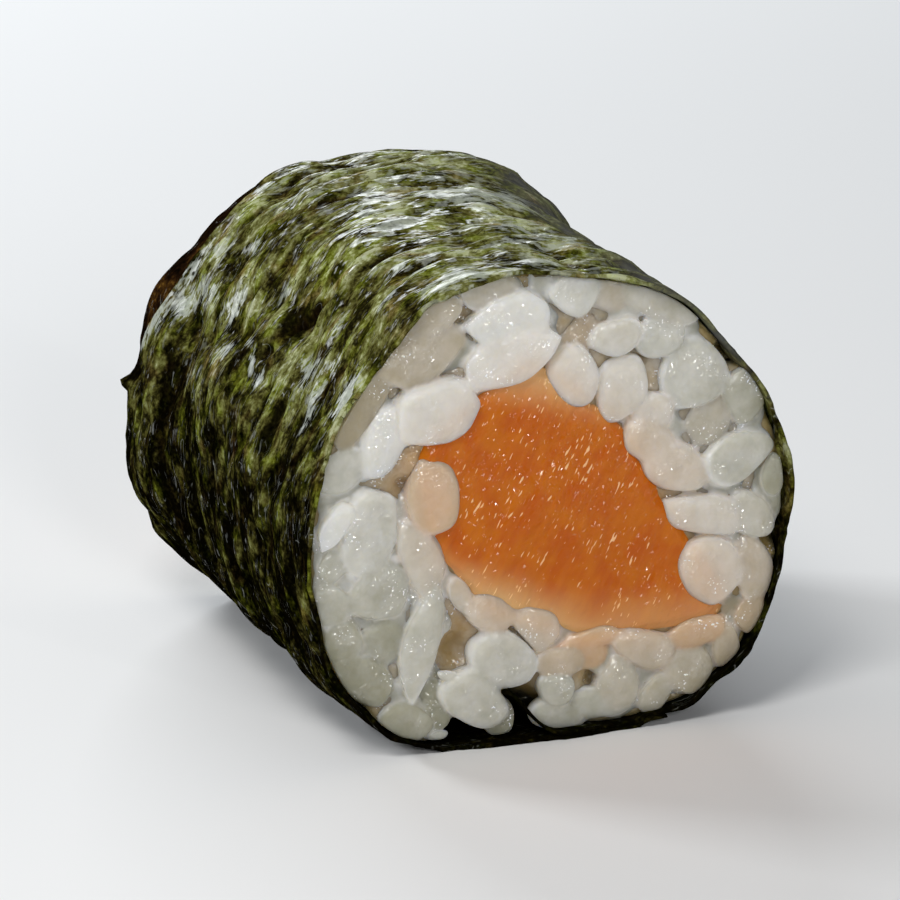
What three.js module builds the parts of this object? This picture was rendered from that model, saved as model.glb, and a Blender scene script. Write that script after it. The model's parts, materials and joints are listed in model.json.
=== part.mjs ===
// One piece of hosomaki, a thin sushi roll: a strip of raw salmon in pressed rice, wrapped in a sheet of
// nori and cut off square at both ends. It lies on its side, on the flat that its own weight has pressed
// into it. The roll's axis runs along Y and the front cut faces -Y. The origin is on the surface that the
// piece lies on, under the middle of its bounding box.

import * as THREE from "three";

// Driving sizes, in millimetres.
const ROLL_LENGTH = 31; // from one cut face to the other
const ROLL_RADIUS = 13.95; // mean radius over the nori
const AXIS_HEIGHT = 12.75; // less than the radius, because the roll has sagged
const NORI_THICKNESS = 0.4;
const TOUCHING_GAP = 0.15; // left between two faces that touch

// The sheet of nori: where it starts inside the roll and ends outside it, in degrees round the axis.
const SHEET_START = -104;
const SHEET_END = 300;
const LIP_LIFT = 2.7; // how far the sheet's inner edge stands up into the rice
const WEDGE_WIDTH = 16; // in degrees, of the air beside that edge
const LIP_WIDTH = 17; // in degrees
const TUCK_WIDTH = 8; // in degrees, over which the sheet slips under its own outer end
const EDGE_WAVE = 0.16; // how far the cut edges of the sheet wander
const WAVE_HEIGHT = 0.12; // of the low waves along the roll
const WAVE_SPACING = 8.4;

// The strip of salmon, as corners of its section about the roll's axis.
const SALMON_CORNERS = [
  [-1.0, 9.1],
  [-4.2, 6.9],
  [-7.7, 4.5],
  [-6.6, -1.2],
  [-3.4, -4.9],
  [2.6, -7.4],
  [11.2, -6.9],
  [6.6, 0.6],
  [4.3, 4.7],
];
const SALMON_ROUNDING = 0.25; // 0 keeps the corners sharp, 0.5 rounds each side right up to its middle
const SALMON_BACK_SCALE = 0.93; // the strip thins a little towards the back
const SALMON_RECESS = 0.45; // the grains at the cut stand this far beyond the fish
const SALMON_BULGE = 0.35; // the middle of the cut fish stands this far beyond its rim

// Relief of the cut rice: the tops of grains, as low domes over the face.
const GRAIN_WIDTH = 3;
const GRAIN_LENGTH = 5.4;
const GRAIN_RELIEF = 1.2;
const GRAIN_ROWS = 5; // rows of grains from the axis to the nori
const MOST_IN_ROW = 40;
const BACK_SHIFT = 6; // the back face shows another part of the same pattern

// Mesh fineness.
const COLUMNS = 90; // round the roll
const LENGTHS = 8; // along the nori and the rice
const HOLE_LENGTHS = 3; // along the fish and the hole that it fills
const RICE_RINGS = 7; // across each cut face of the rice
const FISH_RINGS = 2; // across each cut face of the fish
const OUTLINE_STEPS = 6; // round each corner of the fish

const HALF_LENGTH = ROLL_LENGTH / 2;
const FULL_TURN = 360;

// Where the roll is fuller or, with a negative height, flatter than a round bar. Each entry has the middle
// of the place, in degrees round the axis and in millimetres along it, its height, and how far it spreads.
const SWELLINGS = [
  { angle: -138, along: 0, height: 0.9, turn: 24, run: 60 },
  { angle: -35, along: 0, height: 1.1, turn: 24, run: 60 },
  { angle: -68, along: 0, height: -0.3, turn: 7, run: 60 },
  { angle: 118, along: -9, height: 0.6, turn: 14, run: 22 },
  { angle: 44, along: -12, height: -0.3, turn: 9, run: 12 },
  { angle: 76, along: -12, height: -0.4, turn: 11, run: 14 },
  { angle: 146, along: -9, height: -0.35, turn: 14, run: 20 },
  { angle: 64, along: 9.5, height: 0.9, turn: 20, run: 5.5 },
  { angle: 60, along: 0, height: -0.35, turn: 16, run: 4 },
  { angle: 92, along: 16, height: -0.4, turn: 26, run: 5 },
  { angle: 150, along: 16, height: 0.2, turn: 12, run: 5 },
  { angle: 196, along: 13, height: 0.6, turn: 16, run: 7 },
  { angle: 222, along: 8.5, height: -0.55, turn: 14, run: 4.5 },
  { angle: 166, along: -2, height: 0.3, turn: 14, run: 6 },
  { angle: 140, along: -4, height: -0.35, turn: 14, run: 2.5 },
];

const radians = THREE.MathUtils.degToRad;

// An angle in degrees, brought to the half turn either side of zero.
const nearZero = (angle) => angle - FULL_TURN * Math.round(angle / FULL_TURN);

// A number from 0 to 1 that looks random and is always the same for the same seed.
const scatter = (seed) => {
  const wave = Math.sin(seed * 127.1 + 11.7) * 43758.5453;
  return wave - Math.floor(wave);
};

const evenly = (count, from, to) =>
  Array.from({ length: count + 1 }, (_, step) => from + ((to - from) * step) / count);

const COLUMN_WIDTH = FULL_TURN / COLUMNS;
const COLUMN_ANGLES = evenly(COLUMNS, 0, FULL_TURN).slice(0, COLUMNS);

// Low waves that run round the roll, where the moist sheet has drawn tight between rows of grains.
const waves = (angle, along) => {
  const phase = (2 * Math.PI * along) / WAVE_SPACING;
  const short = Math.sin(phase + 1.8 * Math.sin(radians(2 * angle)));
  const long = Math.sin(phase / 2 + radians(3 * angle));
  return WAVE_HEIGHT * (short + long / 2);
};

const rollRadius = (angle, along) =>
  SWELLINGS.reduce((radius, swelling) => {
    const turn = nearZero(angle - swelling.angle) / swelling.turn;
    const run = (along - swelling.along) / swelling.run;
    return radius + swelling.height * Math.exp(-turn * turn - run * run);
  }, ROLL_RADIUS + waves(angle, along));

// A point at a depth under the roll's skin. Below the axis the roll ends at the flat that it lies on, and
// what is deeper in the roll keeps its depth above that flat.
const rollPoint = (angle, along, depth) => {
  const radius = rollRadius(angle, along) - depth;
  const up = radius * Math.sin(radians(angle));
  const floor = depth - AXIS_HEIGHT;
  return new THREE.Vector3(radius * Math.cos(radians(angle)), along, Math.max(up, floor));
};

// The faces between neighbouring rows of a grid of points that are numbered row by row. Each row closes on
// itself, and the stack of rows may close on itself as well.
const facesBetweenRows = (rowCount, columnCount, stackCloses) => {
  const at = (row, column) => (row % rowCount) * columnCount + (column % columnCount);
  const strips = stackCloses ? rowCount : rowCount - 1;
  const faces = [];
  for (let row = 0; row < strips; row++) {
    for (let column = 0; column < columnCount; column++) {
      faces.push(at(row, column), at(row + 1, column), at(row + 1, column + 1));
      faces.push(at(row, column), at(row + 1, column + 1), at(row, column + 1));
    }
  }
  return faces;
};

const skinOf = (points, faces) => {
  const geometry = new THREE.BufferGeometry().setFromPoints(points);
  geometry.setIndex(faces);
  geometry.computeVertexNormals();
  return geometry;
};

// Nori: one sheet, wound once round and on over its own start along the bottom of the roll.
const noriDepth = (turned) => {
  const untilEndPassed = SHEET_END - FULL_TURN + TUCK_WIDTH - turned;
  const tucked = THREE.MathUtils.smoothstep(untilEndPassed, 0, TUCK_WIDTH);
  const lifted = THREE.MathUtils.smoothstep(SHEET_START + LIP_WIDTH - turned, 0, LIP_WIDTH);
  return tucked * (NORI_THICKNESS + TOUCHING_GAP) + lifted * LIP_LIFT;
};

const noriEdge = (angle) => {
  const wide = Math.sin(radians(7 * angle));
  const narrow = Math.sin(radians(17 * angle) + 1);
  return EDGE_WAVE * (wide + narrow / 2);
};

const makeNori = () => {
  const steps = Math.round((SHEET_END - SHEET_START) / COLUMN_WIDTH);
  const turns = evenly(steps, SHEET_START, SHEET_END);
  const side = (share, depth) =>
    turns.map((turned) => {
      const along = share * (HALF_LENGTH + noriEdge(turned));
      return rollPoint(turned, along, noriDepth(turned) + depth);
    });
  const rows = evenly(LENGTHS, -1, 1).map((share) => [
    ...side(share, 0),
    ...side(share, NORI_THICKNESS).reverse(),
  ]);
  // Each cut edge of the sheet is a strip between its outside and its inside.
  const loop = rows[0].length;
  const last = (rows.length - 1) * loop;
  const faces = facesBetweenRows(rows.length, loop, false);
  for (let column = 0; column < steps; column++) {
    const across = loop - 1 - column;
    faces.push(column, column + 1, across - 1);
    faces.push(column, across - 1, across);
    faces.push(last + column, last + across - 1, last + column + 1);
    faces.push(last + column, last + across, last + across - 1);
  }
  return skinOf(rows.flat(), faces);
};

// Salmon: the section as one rounded outline, read as a radius at each angle.
const makeSalmonOutline = () => {
  const corners = SALMON_CORNERS.map(([x, z]) => new THREE.Vector2(x, z));
  const outline = new THREE.Path();
  corners.forEach((corner, index) => {
    const before = corners.at(index - 1);
    const after = corners[(index + 1) % corners.length];
    const entry = corner.clone().lerp(before, SALMON_ROUNDING);
    const exit = corner.clone().lerp(after, SALMON_ROUNDING);
    if (index === 0) {
      outline.moveTo(entry.x, entry.y);
    } else {
      outline.lineTo(entry.x, entry.y);
    }
    outline.quadraticCurveTo(corner.x, corner.y, exit.x, exit.y);
  });
  outline.closePath();
  return outline.getPoints(OUTLINE_STEPS);
};

const SALMON_OUTLINE = makeSalmonOutline();

const salmonRadius = (angle) => {
  const ray = new THREE.Vector2(Math.cos(radians(angle)), Math.sin(radians(angle)));
  let radius = 0;
  SALMON_OUTLINE.forEach((start, index) => {
    const end = SALMON_OUTLINE[(index + 1) % SALMON_OUTLINE.length];
    const side = end.clone().sub(start);
    const across = ray.cross(side);
    const share = -ray.cross(start) / across;
    if (across !== 0 && share >= 0 && share <= 1) {
      radius = Math.max(radius, start.cross(side) / across);
    }
  });
  return radius;
};

const SALMON_RADII = COLUMN_ANGLES.map(salmonRadius);

const salmonPoint = (column, along, share, spare) => {
  const towardsBack = (along + HALF_LENGTH) / ROLL_LENGTH;
  const taper = THREE.MathUtils.lerp(1, SALMON_BACK_SCALE, towardsBack);
  const radius = (SALMON_RADII[column] * taper + spare) * share;
  const angle = radians(COLUMN_ANGLES[column]);
  return new THREE.Vector3(radius * Math.cos(angle), along, radius * Math.sin(angle));
};

const makeSalmon = () => {
  const end = HALF_LENGTH - SALMON_RECESS;
  const ring = (along, share) => COLUMN_ANGLES.map((_, column) => salmonPoint(column, along, share, 0));
  const face = (outwards) =>
    evenly(FISH_RINGS, 1 / (FISH_RINGS + 1), 1).map((share) =>
      ring(outwards * (end + SALMON_BULGE * (1 - share * share)), share),
    );
  const between = evenly(HOLE_LENGTHS, -end, end).slice(1, -1).map((along) => ring(along, 1));
  const rows = [...face(-1), ...between, ...face(1).reverse()];
  // The middle of each cut face is closed by a fan.
  const points = rows.flat();
  const faces = facesBetweenRows(rows.length, COLUMNS, false);
  const last = points.length - COLUMNS;
  points.push(new THREE.Vector3(0, -end - SALMON_BULGE, 0));
  points.push(new THREE.Vector3(0, end + SALMON_BULGE, 0));
  for (let column = 0; column < COLUMNS; column++) {
    const next = (column + 1) % COLUMNS;
    faces.push(column, next, points.length - 2);
    faces.push(last + next, last + column, points.length - 1);
  }
  return skinOf(points, faces);
};

// Rice: the relief of a cut face, as the tops of grains that lie in rows round the axis.
const GRAINS = evenly(GRAIN_ROWS - 1, 0, GRAIN_ROWS - 1).flatMap((row) => {
  const distance = (row + 0.6) * GRAIN_WIDTH;
  const count = Math.round((4 * Math.PI * distance) / (GRAIN_WIDTH + GRAIN_LENGTH));
  return evenly(count - 1, 0, count - 1).map((place) => {
    const seed = row * MOST_IN_ROW + place;
    const angle = ((place + 0.6 * scatter(seed)) / count) * 2 * Math.PI;
    return {
      x: distance * Math.cos(angle),
      z: distance * Math.sin(angle),
      lie: scatter(seed + 0.3) * Math.PI,
      top: 0.6 + 0.4 * scatter(seed + 0.6),
    };
  });
});

// Cubing the heights before they are added lets the highest grain win, without a crease beside it.
const grainRelief = (x, z) => {
  const cubes = GRAINS.map((grain) => {
    const lengthways = (x - grain.x) * Math.cos(grain.lie) + (z - grain.z) * Math.sin(grain.lie);
    const across = (z - grain.z) * Math.cos(grain.lie) - (x - grain.x) * Math.sin(grain.lie);
    const out = ((2 * lengthways) / GRAIN_LENGTH) ** 2 + ((2 * across) / GRAIN_WIDTH) ** 2;
    return Math.max(0, grain.top * (1 - out)) ** 3;
  });
  const height = Math.cbrt(cubes.reduce((sum, cube) => sum + cube, 0));
  return GRAIN_RELIEF * Math.min(1, height);
};

// The inner edge of the nori stands in the rice, which leaves a wedge of air beside it.
const riceDepth = (angle) => {
  const turned = nearZero(angle);
  const beforeEdge = Math.max(0, SHEET_START - turned);
  const wedge = THREE.MathUtils.smoothstep(WEDGE_WIDTH - beforeEdge, 0, WEDGE_WIDTH - COLUMN_WIDTH);
  const layers = beforeEdge > 0 ? wedge * noriDepth(SHEET_START) : noriDepth(turned);
  return layers + NORI_THICKNESS + TOUCHING_GAP;
};

const makeRice = () => {
  const wall = (along) => COLUMN_ANGLES.map((angle) => rollPoint(angle, along, riceDepth(angle)));
  const hole = (along) => COLUMN_ANGLES.map((_, column) => salmonPoint(column, along, 1, TOUCHING_GAP));
  const face = (outwards) => {
    const inner = hole(outwards * HALF_LENGTH);
    const outer = wall(outwards * HALF_LENGTH);
    return evenly(RICE_RINGS, 0, 1).map((share) =>
      inner.map((point, column) => {
        const place = point.clone().lerp(outer[column], share);
        const shift = outwards > 0 ? BACK_SHIFT : 0;
        const relief = grainRelief(place.x + shift, place.z);
        place.y = outwards * (HALF_LENGTH - GRAIN_RELIEF + relief);
        return place;
      }),
    );
  };
  const outside = evenly(LENGTHS, -HALF_LENGTH, HALF_LENGTH).slice(1, -1).map(wall);
  const inside = evenly(HOLE_LENGTHS, HALF_LENGTH, -HALF_LENGTH).slice(1, -1).map(hole);
  const rows = [...face(-1), ...outside, ...face(1).reverse(), ...inside];
  return skinOf(rows.flat(), facesBetweenRows(rows.length, COLUMNS, true));
};

const NORI_LOOK = { color: 0x1d2412, roughness: 0.45, metalness: 0 };
const RICE_LOOK = { color: 0xe4ded2, roughness: 0.4, metalness: 0 };
const SALMON_LOOK = { color: 0xd9702c, roughness: 0.35, metalness: 0 };

const roll = new THREE.Group();
for (const [name, geometry, look] of [
  ["nori", makeNori(), NORI_LOOK],
  ["rice", makeRice(), RICE_LOOK],
  ["salmon", makeSalmon(), SALMON_LOOK],
]) {
  const piece = new THREE.Mesh(geometry, new THREE.MeshStandardMaterial(look));
  piece.name = name;
  roll.add(piece);
}
const bounds = new THREE.Box3().setFromObject(roll);
const middle = bounds.getCenter(new THREE.Vector3());
roll.position.set(-middle.x, -middle.y, -bounds.min.z);

export default roll;
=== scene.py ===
"""The looks of one piece of salmon hosomaki: a moist, wrinkled sheet of nori, single grains of cooked rice
over a smaller core, and a strip of raw salmon. Shapes are worked out in millimetres about the roll's axis,
with the front cut at -Y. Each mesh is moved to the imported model's frame when it is made."""

import json

import bmesh
import bpy
import numpy as np
from mathutils import Matrix, Vector

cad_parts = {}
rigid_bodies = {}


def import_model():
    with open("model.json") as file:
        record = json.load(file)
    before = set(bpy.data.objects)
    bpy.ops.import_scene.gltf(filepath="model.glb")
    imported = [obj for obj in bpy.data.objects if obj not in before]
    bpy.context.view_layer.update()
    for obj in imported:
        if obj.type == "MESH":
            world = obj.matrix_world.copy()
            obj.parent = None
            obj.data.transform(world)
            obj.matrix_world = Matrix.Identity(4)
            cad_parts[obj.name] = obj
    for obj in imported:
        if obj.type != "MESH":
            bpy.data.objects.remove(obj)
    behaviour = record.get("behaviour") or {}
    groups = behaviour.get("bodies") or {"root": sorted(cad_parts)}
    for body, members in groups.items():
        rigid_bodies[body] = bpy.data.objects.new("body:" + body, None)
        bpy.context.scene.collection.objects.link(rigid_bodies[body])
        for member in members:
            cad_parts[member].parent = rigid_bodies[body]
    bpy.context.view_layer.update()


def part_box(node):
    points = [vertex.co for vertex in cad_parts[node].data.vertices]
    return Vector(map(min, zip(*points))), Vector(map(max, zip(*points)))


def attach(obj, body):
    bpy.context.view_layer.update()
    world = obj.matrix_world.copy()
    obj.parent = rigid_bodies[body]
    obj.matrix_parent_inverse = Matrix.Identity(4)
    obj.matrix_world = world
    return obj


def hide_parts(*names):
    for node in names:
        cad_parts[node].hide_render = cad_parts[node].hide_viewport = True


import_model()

MM = 0.001

# Sizes of the roll in millimetres, and angles in degrees, the same as in the part's source.
ROLL_LENGTH = 31.0
HALF_LENGTH = ROLL_LENGTH / 2
ROLL_RADIUS = 13.95
AXIS_HEIGHT = 12.75
SHEET_START = -104.0
SHEET_END = 300.0
LIP_LIFT = 2.7
LIP_WIDTH = 17.0
WEDGE_WIDTH = 16.0
TUCK_WIDTH = 8.0
EDGE_WAVE = 0.16
WAVE_HEIGHT = 0.12
WAVE_SPACING = 8.4
SALMON_CORNERS = [
    (-1.0, 9.1), (-4.2, 6.9), (-7.7, 4.5), (-6.6, -1.2), (-3.4, -4.9),
    (2.6, -7.4), (11.2, -6.9), (6.6, 0.6), (4.3, 4.7),
]
SALMON_ROUNDING = 0.25
SALMON_BACK_SCALE = 0.93

# Sizes of the looks. The sheet is thinner here than in the source, and the fish lies a little further out.
NORI_THICKNESS = 0.22
LAYER_STEP = 0.28  # from the sheet's outside down to its own next layer
SALMON_RECESS = 0.4
FIBRE_ANGLE = 62  # of the salmon's strands in the section
CORE_RECESS = 0.75  # the core's face lies this far behind the front cut
BACK_CORE_RECESS = 1.45
GRAIN_PLUMPNESS = 2.3  # 2 is an ellipsoid, and more is boxier
GRAIN_SWELLING = 1.14  # the grains are made larger than they show, and pressed together
GRAIN_DEPTH = 2.6  # a grain of the front is as deep as it is wide, up to this
BEHIND_SHARE = 0.55  # share of each listed depth behind the cut that is used
PRESSED_IN = 0.02  # the grains stay this far inside the sheet
SEAM_REACH = 3  # in steps from point to point, how far from a seam the rice flows together
SEAM_ROUNDS = 6  # of smoothing
CORE_OVERLAP = 0.4  # the core reaches this far into the fish, so that no gap shows

# Where the roll is fuller or flatter than a round bar, as in the source: angle in degrees, place along the
# roll, height, and how far it spreads in degrees and along the roll.
SWELLINGS = [
    (-138, 0, 0.9, 24, 60), (-35, 0, 1.1, 24, 60), (-68, 0, -0.3, 7, 60),
    (118, -9, 0.6, 14, 22), (44, -12, -0.3, 9, 12), (76, -12, -0.4, 11, 14),
    (146, -9, -0.35, 14, 20), (64, 9.5, 0.9, 20, 5.5), (60, 0, -0.35, 16, 4),
    (92, 16, -0.4, 26, 5), (150, 16, 0.2, 12, 5), (196, 13, 0.6, 16, 7),
    (222, 8.5, -0.55, 14, 4.5), (166, -2, 0.3, 14, 6), (140, -4, -0.35, 14, 2.5),
]


# ---- numbers ----


def smoothstep(value, low, high):
    share = np.clip((value - low) / (high - low), 0, 1)
    return share * share * (3 - 2 * share)


def hill(away, reach):
    """1 in the middle, falling off smoothly within about that reach."""
    return np.exp(-((away / reach) ** 2))


def plateau(value, foot, rise, fall, end):
    """1 from rise to fall and 0 outside foot and end, with smooth slopes between."""
    return smoothstep(value, foot, rise) * (1 - smoothstep(value, fall, end))


def soft_limit(value, limit, softness):
    """The value, held under the limit by a rounded corner of that softness."""
    return limit - softness * np.logaddexp(0, (limit - value) / softness)


def from_polar(radius, angle):
    return radius * np.cos(np.radians(angle)), radius * np.sin(np.radians(angle))


def angle_of(x, z):
    return np.degrees(np.arctan2(z, x))


def lattice(ix, iy, iz, seed):
    """A number from -1 to 1 at each point of a whole-number lattice."""
    mixed = (ix * 73856093) ^ (iy * 19349663) ^ (iz * 83492791) ^ (seed * 265443576)
    mixed = mixed & 0xFFFFFFFF
    mixed = ((mixed ^ (mixed >> 15)) * 739982445) & 0xFFFFFFFF
    mixed = ((mixed ^ (mixed >> 13)) * 695872825) & 0xFFFFFFFF
    return (mixed ^ (mixed >> 16)) / 2147483647.5 - 1


def noise(x, y, z, seed):
    """Smooth noise from -1 to 1, about one bump for each unit of length."""
    x, y, z = np.broadcast_arrays(x, y, z)
    cell = [np.floor(c).astype(np.int64) for c in (x, y, z)]
    fade = [smoothstep(c - f, 0, 1) for c, f in zip((x, y, z), cell)]
    total = np.zeros(x.shape)
    for dx in (0, 1):
        for dy in (0, 1):
            for dz in (0, 1):
                weight = np.ones(x.shape)
                for step, share in zip((dx, dy, dz), fade):
                    weight = weight * (share if step else 1 - share)
                total += weight * lattice(cell[0] + dx, cell[1] + dy, cell[2] + dz, seed)
    return total


# ---- the roll's form ----


def roll_radius(angle, along):
    """Radius over the nori, at angles in degrees and places along the roll."""
    phase = 2 * np.pi * along / WAVE_SPACING
    short = np.sin(phase + 1.8 * np.sin(np.radians(2 * angle)))
    long = np.sin(phase / 2 + np.radians(3 * angle))
    radius = ROLL_RADIUS + WAVE_HEIGHT * (short + long / 2)
    for middle, place, height, turn, run in SWELLINGS:
        off = (angle - middle + 180) % 360 - 180
        radius = radius + height * np.exp(-((off / turn) ** 2) - ((along - place) / run) ** 2)
    return radius


def roll_points(angle, along, depth, relief=0.0):
    """Points at a depth under the roll's skin. What is deeper keeps its depth above the flat underneath."""
    x, z = from_polar(roll_radius(angle, along) - depth + relief, angle)
    z = np.maximum(z, depth - AXIS_HEIGHT)
    return np.stack([x, np.broadcast_to(along, x.shape), z], axis=-1)


def nori_depth(turned):
    """How deep the sheet's outside lies: under its own outer end, and up in the rice at its inner edge."""
    tucked = 1 - smoothstep(turned, SHEET_END - 360, SHEET_END - 360 + TUCK_WIDTH)
    lifted = 1 - smoothstep(turned, SHEET_START, SHEET_START + LIP_WIDTH)
    return tucked * LAYER_STEP + lifted * LIP_LIFT


def rice_depth(angle):
    """How deep the rice ends under the nori, with a wedge of air beside the sheet's inner edge."""
    turned = (angle + 180) % 360 - 180
    before_edge = np.maximum(0, SHEET_START - turned)
    wedge = 1 - smoothstep(before_edge, 4, WEDGE_WIDTH)
    layers = np.where(before_edge > 0, wedge * nori_depth(SHEET_START), nori_depth(turned))
    return layers + NORI_THICKNESS


def salmon_outline(steps):
    """The fish's section as a loop of points: straight sides joined by rounded corners."""
    corners = np.array(SALMON_CORNERS)
    points = []
    for before, corner, after in zip(np.roll(corners, 1, 0), corners, np.roll(corners, -1, 0)):
        entry = corner + (before - corner) * SALMON_ROUNDING
        leave = corner + (after - corner) * SALMON_ROUNDING
        for share in np.linspace(0, 1, steps):
            points.append((1 - share) ** 2 * entry + 2 * share * (1 - share) * corner + share**2 * leave)
    return np.array(points)


OUTLINE = salmon_outline(8)
OUTLINE_ANGLES = angle_of(OUTLINE[:, 0], OUTLINE[:, 1]) % 360
OUTLINE_ORDER = np.argsort(OUTLINE_ANGLES)
OUTLINE_RADII = np.hypot(OUTLINE[:, 0], OUTLINE[:, 1])[OUTLINE_ORDER]
OUTLINE_ANGLES = OUTLINE_ANGLES[OUTLINE_ORDER]


def salmon_radius(angle):
    """Radius of the fish's section. Between two points of the outline the side is straight."""
    angle = np.asarray(angle, float) % 360
    after = np.searchsorted(OUTLINE_ANGLES, angle) % len(OUTLINE_ANGLES)
    first = np.radians(OUTLINE_ANGLES[after - 1])
    second = np.radians(OUTLINE_ANGLES[after])
    r1, r2 = OUTLINE_RADII[after - 1], OUTLINE_RADII[after]
    here = np.radians(angle)
    return r1 * r2 * np.sin(second - first) / (r1 * np.sin(here - first) + r2 * np.sin(second - here))


# ---- meshes ----


def grid_faces(rows, columns, ring=False, loop=False):
    """Quads between the rows of a grid of points. Rows may close on themselves, and so may the stack."""
    row = np.arange(rows if loop else rows - 1)
    column = np.arange(columns if ring else columns - 1)
    r, c = np.meshgrid(row, column, indexing="ij")
    r2, c2 = (r + 1) % rows, (c + 1) % columns
    quads = np.stack([r * columns + c, r2 * columns + c, r2 * columns + c2, r * columns + c2], axis=-1)
    return quads.reshape(-1, 4)


def ring_points(section, along):
    """A ring of points at one place along the roll, from the x and the z of its section."""
    x, z = section
    return np.stack([x, np.full(x.shape, along), z], axis=-1)


def smooth_middle_x():
    """Middle of the roll's width about its axis, which the frame puts at x = 0."""
    angle, along = np.meshgrid(np.arange(0, 360, 4.0), np.linspace(-HALF_LENGTH, HALF_LENGTH, 9))
    x = roll_points(angle, along, 0)[..., 0]
    return (x.min() + x.max()) / 2


LOW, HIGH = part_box("nori")
AXIS = np.array([(LOW.x + HIGH.x) / 2 / MM - smooth_middle_x(), 0, AXIS_HEIGHT])


def add_object(name, data):
    made = bpy.data.objects.new(name, data)
    bpy.context.scene.collection.objects.link(made)
    return made


def add_mesh(name, points, faces, material, attributes=None):
    """A smooth mesh from points in millimetres about the axis, placed in the frame."""
    mesh = bpy.data.meshes.new(name)
    placed = (np.asarray(points).reshape(-1, 3) + AXIS) * MM
    mesh.from_pydata(placed.tolist(), [], faces)
    for key, values in (attributes or {}).items():
        layer = mesh.attributes.new(key, "FLOAT", "POINT")
        layer.data.foreach_set("value", np.asarray(values, np.float32).ravel())
    mesh.shade_smooth()
    mesh.materials.append(material)
    return add_object(name, mesh)


def stand_for(piece, slot):
    """Makes the piece ride on the part's only body and take the place of one of its solids, which it hides.
    """
    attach(piece, "root")
    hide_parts(slot)


# ---- materials ----


class Shader:
    """A node material, with short ways to add and join its nodes."""

    def __init__(self, name):
        self.material = bpy.data.materials.new(name)
        self.material.use_nodes = True
        self.tree = self.material.node_tree
        self.surface = self.tree.nodes["Principled BSDF"]

    def node(self, kind, inputs=None, **settings):
        made = self.tree.nodes.new(kind)
        for key, value in settings.items():
            setattr(made, key, value)
        for key, value in (inputs or {}).items():
            self.feed(made.inputs[key], value)
        return made

    def feed(self, socket, value):
        if isinstance(value, bpy.types.NodeSocket):
            self.tree.links.new(value, socket)
        else:
            socket.default_value = value

    def set(self, **values):
        for key, value in values.items():
            self.feed(self.surface.inputs[key.replace("_", " ")], value)

    def place(self):
        """The point on the piece, in millimetres in the part's frame."""
        coordinates = self.node("ShaderNodeTexCoord").outputs["Object"]
        return self.vector("MULTIPLY", coordinates, (1 / MM, 1 / MM, 1 / MM))

    def vector(self, operation, first, second):
        return self.node("ShaderNodeVectorMath", {0: first, 1: second}, operation=operation).outputs[0]

    def math(self, operation, first, second=0.0):
        return self.node("ShaderNodeMath", {0: first, 1: second}, operation=operation).outputs[0]

    def plus(self, first, second):
        return self.math("ADD", first, second)

    def times(self, first, second):
        return self.math("MULTIPLY", first, second)

    def most(self, first, second):
        return self.math("MAXIMUM", first, second)

    def swing(self, pattern, weight):
        """A pattern's rise and fall about its middle, with that weight."""
        return self.times(self.math("SUBTRACT", pattern, 0.5), weight)

    def away(self, pattern, level):
        """How far the pattern is from a level, which is 0 along thin winding lines."""
        return self.math("ABSOLUTE", self.math("SUBTRACT", pattern, level))

    def noise(self, place, size, detail=2.0, roughness=0.5):
        """Noise with bumps of that size in millimetres, which is one number or one each for x, y and z."""
        scaled = self.vector("DIVIDE", place, tuple(np.ones(3) * size))
        inputs = {"Vector": scaled, "Scale": 1.0, "Detail": detail, "Roughness": roughness}
        return self.node("ShaderNodeTexNoise", inputs).outputs["Fac"]

    def curve(self, value, low, high, to_low=0.0, to_high=1.0):
        """The value, stretched smoothly from between low and high."""
        inputs = {"Value": value, "From Min": low, "From Max": high, "To Min": to_low, "To Max": to_high}
        return self.node("ShaderNodeMapRange", inputs, interpolation_type="SMOOTHSTEP").outputs["Result"]

    def mix(self, share, first, second):
        inputs = {"Factor": share, "A": first, "B": second}
        return self.node("ShaderNodeMix", inputs, data_type="RGBA").outputs["Result"]

    def ramp(self, value, stops):
        """A colour for each value, from a list of values from 0 to 1 with their red, green and blue."""
        made = self.node("ShaderNodeValToRGB", {"Fac": value})
        handles = made.color_ramp.elements
        for handle, (position, *tint) in zip(handles, (stops[0], stops[-1])):
            handle.position, handle.color = position, colour(*tint)
        for position, *tint in stops[1:-1]:
            handles.new(position).color = colour(*tint)
        return made.outputs["Color"]

    def attribute(self, name):
        return self.node("ShaderNodeAttribute", attribute_name=name).outputs["Fac"]

    def bump(self, height, strength, distance, normal=None):
        inputs = {"Height": height, "Strength": strength, "Distance": distance * MM}
        if normal is not None:
            inputs["Normal"] = normal
        return self.node("ShaderNodeBump", inputs).outputs["Normal"]


def colour(red, green, blue):
    """A colour given as the screen shows it, from 0 to 255, in the shader's own linear values."""
    share = np.array([red, green, blue]) / 255
    linear = np.where(share < 0.04045, share / 12.92, ((share + 0.055) / 1.055) ** 2.4)
    return (*linear.tolist(), 1.0)


# The sheet's colours: tones from 0 to 1 with their red, green and blue as the screen shows them.
NORI_TONES = [
    (0.0, 5, 4, 1), (0.18, 25, 23, 7), (0.34, 53, 50, 20), (0.5, 81, 79, 38),
    (0.64, 102, 103, 57), (0.8, 124, 126, 80), (0.92, 148, 151, 109), (1.0, 172, 176, 140),
]
NORI_GREENS = [
    (0.0, 4, 5, 1), (0.34, 48, 51, 7), (0.5, 78, 83, 15), (0.64, 102, 110, 30),
    (0.8, 124, 134, 54), (1.0, 170, 178, 124),
]
NORI_BROWNS = [
    (0.0, 6, 4, 2), (0.35, 32, 18, 8), (0.6, 64, 42, 15), (0.85, 108, 80, 32),
    (1.0, 136, 116, 60),
]


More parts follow.
